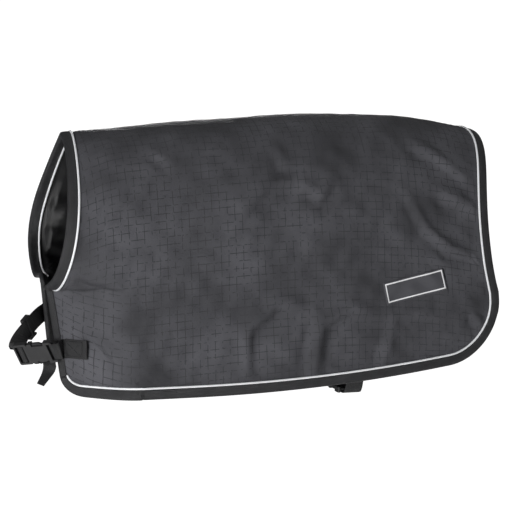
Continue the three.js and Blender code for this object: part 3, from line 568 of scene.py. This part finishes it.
def closedLayer(top, bottom):
    # faces of two grids and the wall that joins their borders; the top faces outwards
    n, m = top.shape[:2]
    ids = np.arange(n * m).reshape(n, m)
    quads = np.stack([ids[:-1, :-1], ids[1:, :-1], ids[1:, 1:], ids[:-1, 1:]], -1).reshape(-1, 4)
    rim = np.concatenate([ids[:, 0], ids[-1, 1:], ids[-2::-1, -1], ids[0, -2:0:-1]])
    after = np.roll(rim, -1)
    wall = np.stack([after, rim, rim + n * m, after + n * m], -1)
    faces = np.concatenate([quads, quads[:, ::-1] + n * m, wall])
    return np.concatenate([top.reshape(-1, 3), bottom.reshape(-1, 3)]), faces.tolist()


def addSweep(name, centres, outs, ups, profile, material):
    # a closed profile (out, up) carried along an open path, with its two ends capped
    points = (
        centres[:, None] + outs[:, None] * profile[None, :, :1] + ups[:, None] * profile[None, :, 1:]
    )
    n, m = points.shape[:2]
    ids = np.arange(n * m).reshape(n, m)
    ring = np.roll(ids, -1, axis=1)
    sides = np.stack([ids[:-1], ids[1:], ring[1:], ring[:-1]], -1).reshape(-1, 4)
    faces = sides.tolist() + [ids[0].tolist(), ids[-1, ::-1].tolist()]
    along = np.concatenate([[0], np.cumsum(np.linalg.norm(np.diff(centres, axis=0), axis=1))])
    around = np.concatenate([[0], np.cumsum(np.linalg.norm(np.diff(profile, axis=0), axis=1))])
    uv = np.stack(np.broadcast_arrays(along[:, None], around[None]), -1)
    return addPiece(name, points.reshape(-1, 3), faces, material, uv)


# shell, wadding and lining

layers = {"shell": 0.0008, "gap": 0.0004, "lining": 0.0008}
under = layers["shell"] + layers["gap"]
clothUv = np.stack([cloth[..., 0], arc], -1)
doubleUv = np.concatenate([clothUv.reshape(-1, 2)] * 2)
outer = cloth + normals * relief[..., None]
points, faces = closedLayer(outer, outer - normals * layers["shell"])
shell = addPiece("outerShell", points, faces, cloths["shell"], doubleUv)
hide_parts("outer_shell")
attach(shell, "coat")

middle = cut["rows"] * grid["perRow"]
for name, node, part, side in (
    ("waddingLeft", "wadding_left", slice(0, middle + 1), -1),
    ("waddingRight", "wadding_right", slice(middle, None), 1),
):
    face = outer[:, part] - normals[:, part] * (under + 0.0007)
    back = cloth[:, part] - normals[:, part] * (under + wadThickness[:, part, None])
    seam = np.where(np.abs(rowGrid[:, part]) < 1e-9, side * 0.0002, 0.0)
    shift = np.stack([np.zeros_like(seam), seam, np.zeros_like(seam)], -1)
    points, faces = closedLayer(face + shift, back + shift)
    wad = addPiece(name, points, faces, cloths["wadding"], np.zeros((len(points), 2)))
    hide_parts(node)
    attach(wad, "coat")

# loose lining, which gathers in deeper folds towards the neck
gather = 1 + 2.6 * (1 - smooth((cloth[..., 0] - neckX) / 0.16))
sag = 0.0012 * (1 + ripple(0.6 * cloth[..., 0], arc, 0.04, 5)) + 0.0009 * (
    1 + ripple(cloth[..., 0] * 0.5, arc, 0.07, 4)
)
sag = np.clip(gather * sag, 0, 0.011) * smooth((toEdge - 0.008) / 0.014)
depth = under + wadThickness + layers["gap"]
liningOuter = cloth - normals * depth[..., None]
liningInner = cloth - normals * (depth + layers["lining"] + sag)[..., None]
points, faces = closedLayer(liningOuter, liningInner)
lining = addPiece("liningSheet", points, faces, cloths["lining"], doubleUv)
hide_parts("lining")
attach(lining, "coat")
print("shell, wadding and lining made")


# bound edges and piping

# the border of the grid in order, with the way out and the way up at each point
rimIndex = np.concatenate([
    np.stack([np.arange(0, len(uValues) - 1), np.zeros(len(uValues) - 1, int)], 1),
    np.stack([np.full(len(rowValues) - 1, len(uValues) - 1), np.arange(len(rowValues) - 1)], 1),
    np.stack([np.arange(len(uValues) - 1, 0, -1), np.full(len(uValues) - 1, len(rowValues) - 1)], 1),
    np.stack([np.zeros(len(rowValues) - 1, int), np.arange(len(rowValues) - 1, 0, -1)], 1),
])
rimPoints = cloth[rimIndex[:, 0], rimIndex[:, 1]]
rimNormals = normals[rimIndex[:, 0], rimIndex[:, 1]]
ahead = np.roll(rimPoints, -1, 0) - np.roll(rimPoints, 1, 0)
rimOuts = unit(np.cross(unit(ahead), rimNormals))


def rimRun(startColumn, startRow, endColumn, endRow):
    # the indices of the border from one grid corner to another, in order
    columns, rows = rimIndex[:, 0], rowValues[rimIndex[:, 1]]
    first = np.argmin(np.abs(columns - startColumn) + 10 * np.abs(rows - startRow))
    last = np.argmin(np.abs(columns - endColumn) + 10 * np.abs(rows - endRow))
    steps = (last - first) % len(columns)
    return (first + np.arange(steps + 1)) % len(columns)


hemRow = cut["rows"] - 2
runs = {
    "neck": rimRun(0, cut["neckRows"], 0, -cut["neckRows"]),
    "leftFlap": rimRun(0, -cut["neckRows"], 0, -hemRow),
    "rightFlap": rimRun(0, hemRow, 0, cut["neckRows"]),
    "hem": rimRun(0, -hemRow, 0, hemRow),
}
tapeProfile = np.array([
    (-1.0, 0.5), (-1.1, 1.4), (0.5, 1.75), (5, 2.0), (10, 1.9), (13, 1.3), (14.5, -0.2),
    (15, -2.4), (14.5, -4.6), (13, -6.1), (10, -6.7), (5, -6.8), (0.5, -6.6), (-1.1, -6.2),
    (-1.0, -5.3),
]) / 1000
for name, node, key in (
    ("neckBinding", "neck_binding", "neck"),
    ("leftFlapBinding", "left_flap_binding", "leftFlap"),
    ("rightFlapBinding", "right_flap_binding", "rightFlap"),
    ("hemBinding", "hem_binding", "hem"),
):
    run = runs[key]
    tape = addSweep(name, rimPoints[run], rimOuts[run], rimNormals[run], tapeProfile, cloths["tape"])
    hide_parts(node)
    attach(tape, "coat")

angles = np.linspace(0, 2 * np.pi, 12, endpoint=False)


def addPiping(name, node, key, height, radius=0.00175):
    # a round bead that stands on the cloth just inside the tape
    run = runs[key]
    profile = radius * np.stack([np.cos(angles), np.sin(angles)], -1) + np.array([-0.0032, height])
    bead = addSweep(name, rimPoints[run], rimOuts[run], rimNormals[run], profile, cloths["piping"])
    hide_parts(node)
    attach(bead, "coat")


addPiping("neckPiping", "neck_piping", "neck", 0.0014)
addPiping("neckPipingInner", "neck_piping_inner", "neck", -0.0066)
addPiping("hemPiping", "hem_piping", "hem", 0.0014)
print("edges bound and piped")


# straps and buckles


def cleanCopy(name, node):
    # a merged copy of a CAD node's mesh, so that its faces can be shaded smooth
    source = nodes[node]
    mesh = source.data.copy()
    mesh.name = name
    obj = bpy.data.objects.new(name, mesh)
    bpy.context.collection.objects.link(obj)
    weld = obj.modifiers.new("weld", "WELD")
    weld.merge_threshold = 1e-5
    graph = bpy.context.evaluated_depsgraph_get()
    graph.update()
    welded = bpy.data.meshes.new_from_object(obj.evaluated_get(graph))
    obj.modifiers.clear()
    obj.data = welded
    return obj


def planarUv(obj, along, across):
    # a UV map in metres, by distance along two directions
    mesh = obj.data
    at = np.empty(len(mesh.vertices) * 3)
    mesh.vertices.foreach_get("co", at)
    at = at.reshape(-1, 3)
    pairs = np.stack([at @ np.array(along), at @ np.array(across)], -1)
    corners = np.empty(len(mesh.loops), dtype=np.int32)
    mesh.loops.foreach_get("vertex_index", corners)
    layer = mesh.uv_layers.new(name="UVMap") if not mesh.uv_layers else mesh.uv_layers[0]
    layer.data.foreach_set("uv", pairs[corners].astype(np.float32).ravel())


chestAxes = {"along": (-0.743, 0.657, -0.126), "across": (0.440, 0.337, -0.832)}
bellyAxes = {"along": (0, 0.87, 0.49), "across": (1, 0, 0)}
straps = [
    ("chestStrapLeft", "chest_webbing_left", chestAxes, ("coat", "chest_closure")),
    ("chestStrapRight", "chest_webbing_right", chestAxes, ("chest_closure", "chest_clip")),
    ("bellyStrapLeft", "belly_webbing_left", bellyAxes, ("coat", "belly_closure")),
    ("bellyStrapRight", "belly_webbing_right", bellyAxes, ("belly_closure", "belly_clip")),
    ("chestTail", "chest_tail", chestAxes, "chest_tail"),
    ("bellyTail", "belly_tail", bellyAxes, "belly_clip"),
    ("chestPatchLeft", "chest_patch_left", chestAxes, "coat"),
    ("chestPatchRight", "chest_patch_right", chestAxes, "coat"),
    ("bellyPatchLeft", "belly_patch_left", bellyAxes, "coat"),
    ("bellyPatchRight", "belly_patch_right", bellyAxes, "coat"),
]
for name, node, axes, body in straps:
    strap = cleanCopy(name, node)
    strap.data.materials.clear()
    strap.data.materials.append(cloths["webbing"])
    planarUv(strap, axes["along"], axes["across"])
    strap.data.shade_smooth()
    strap.data.set_sharp_from_angle(angle=math.radians(50))
    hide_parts(node)
    if isinstance(body, tuple):
        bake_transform(strap)
    else:
        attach(strap, body)

# moulded parts keep their CAD shape and get rounded edges
for node in nodes:
    if any(word in node for word in ("socket", "clip_base", "prong", "slider")):
        part = nodes[node]
        part.data.materials.clear()
        part.data.materials.append(plastic)
        weld = part.modifiers.new("weld", "WELD")
        weld.merge_threshold = 1e-5
        edges = part.modifiers.new("roundedEdges", "BEVEL")
        edges.width = 0.0005
        edges.segments = 2
        edges.limit_method = "ANGLE"
        edges.angle_limit = math.radians(35)
print("straps and buckles finished")


def gridPlace(x, z, side):
    # where on the coat's form a point of a side lies, by Newton's steps from a first guess
    u = np.clip((x - neckX) / (tailX - neckX), 0.02, 0.98)
    row = side * np.full_like(x, 0.55 * cut["rows"])
    for _ in range(12):
        here = clothPoint(u, row)
        du = (clothPoint(u + 1e-4, row) - here) / 1e-4
        dr = (clothPoint(u, row + 1e-3) - here) / 1e-3
        offX, offZ = x - here[..., 0], z - here[..., 2]
        area = du[..., 0] * dr[..., 2] - du[..., 2] * dr[..., 0]
        u = np.clip(u + (offX * dr[..., 2] - offZ * dr[..., 0]) / area, 0.01, 0.99)
        row = row + np.clip((offZ * du[..., 0] - offX * du[..., 2]) / area, -1, 1)
    return u, row


def sampled(values, u, row):
    # the grid's values at places between its points
    i = np.clip(u * grid["columns"], 0, grid["columns"] - 1.001)
    j = np.clip((row + cut["rows"]) * grid["perRow"], 0, values.shape[1] - 1.001)
    i0, j0 = i.astype(int), j.astype(int)
    a, b = (i - i0)[..., None], (j - j0)[..., None]
    low = values[i0, j0] * (1 - b) + values[i0, j0 + 1] * b
    high = values[i0 + 1, j0] * (1 - b) + values[i0 + 1, j0 + 1] * b
    return low * (1 - a) + high * a


spanA, spanB = np.meshgrid(
    np.linspace(-0.5, 0.5, 59) * panel["length"], np.linspace(-0.5, 0.5, 21) * panel["height"],
    indexing="ij",
)
tilt = math.radians(panel["tilt"])
panelX = panel["x"] + spanA * math.cos(tilt) - spanB * math.sin(tilt)
panelZ = panel["z"] + spanA * math.sin(tilt) + spanB * math.cos(tilt)
place = gridPlace(panelX, panelZ, -1)
face, facing = sampled(outer, *place), unit(sampled(normals, *place))
points, faces = closedLayer(
    (face + facing * panel["lift"])[:, ::-1], (face + facing * 0.0003)[:, ::-1]
)
panelUv = np.concatenate([np.stack([spanA, spanB], -1)[:, ::-1].reshape(-1, 2)] * 2)
label = addPiece("namePanel", points, faces, cloths["panel"], panelUv)
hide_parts("name_panel")
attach(label, "coat")

# a box and a cross of thread on each chest patch, laid on its outer face
stitching = {"inset": 0.003, "lift": 0.0054, "radius": 0.0005, "steps": 24}
for name, node, side in (
    ("stitchLeft", "chest_patch_left", -1),
    ("stitchRight", "chest_patch_right", 1),
):
    low, high = (np.array(corner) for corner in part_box(node))
    x0, z0 = low[0] + stitching["inset"], low[2] + stitching["inset"]
    x1, z1 = high[0] - stitching["inset"], high[2] - stitching["inset"]
    corners = np.array([
        (x0, z0), (x1, z0), (x1, z1), (x0, z1), (x0, z0), (x1, z1),
        (x1, z1 - 0.0001), (x0, z1 - 0.0001), (x1, z0),
    ])
    route = np.concatenate([
        np.linspace(a, b, stitching["steps"], endpoint=False)
        for a, b in zip(corners[:-1], corners[1:])
    ])
    u, row = gridPlace(route[:, 0], route[:, 1], side)
    base, out = clothPoint(u, row), unit(sampled(normals, u, row))
    centres = base + out * stitching["lift"]
    ahead = unit(np.gradient(centres, axis=0))
    across = unit(np.cross(ahead, out))
    circle = stitching["radius"] * np.stack([np.cos(angles[::2]), np.sin(angles[::2])], -1)
    thread = addSweep(name, centres, across, out, circle, cloths["thread"])
    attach(thread, "coat")
print("panel and stitches laid")


# floor

floorMesh = bpy.data.meshes.new("floor")
reach = 30.0
floorMesh.from_pydata(
    [(-reach, -reach, 0), (reach, -reach, 0), (reach, reach, 0), (-reach, reach, 0)],
    [], [(0, 1, 2, 3)],
)
floor = bpy.data.objects.new("floor", floorMesh)
floor.location.z = float(np.array(cadBox)[0][2]) - studio["floorDrop"]
floorFinish = Finish("paleFloor", (0.93, 0.93, 0.93), 0.9)
floorFinish.shader.inputs["Emission Color"].default_value = (1, 1, 1, 1)
floorRays = floorFinish.tree.nodes.new("ShaderNodeLightPath")
floorFinish.tree.links.new(
    floorRays.outputs["Is Camera Ray"], floorFinish.shader.inputs["Emission Strength"]
)
floorMesh.materials.append(floorFinish.material)
bpy.context.collection.objects.link(floor)
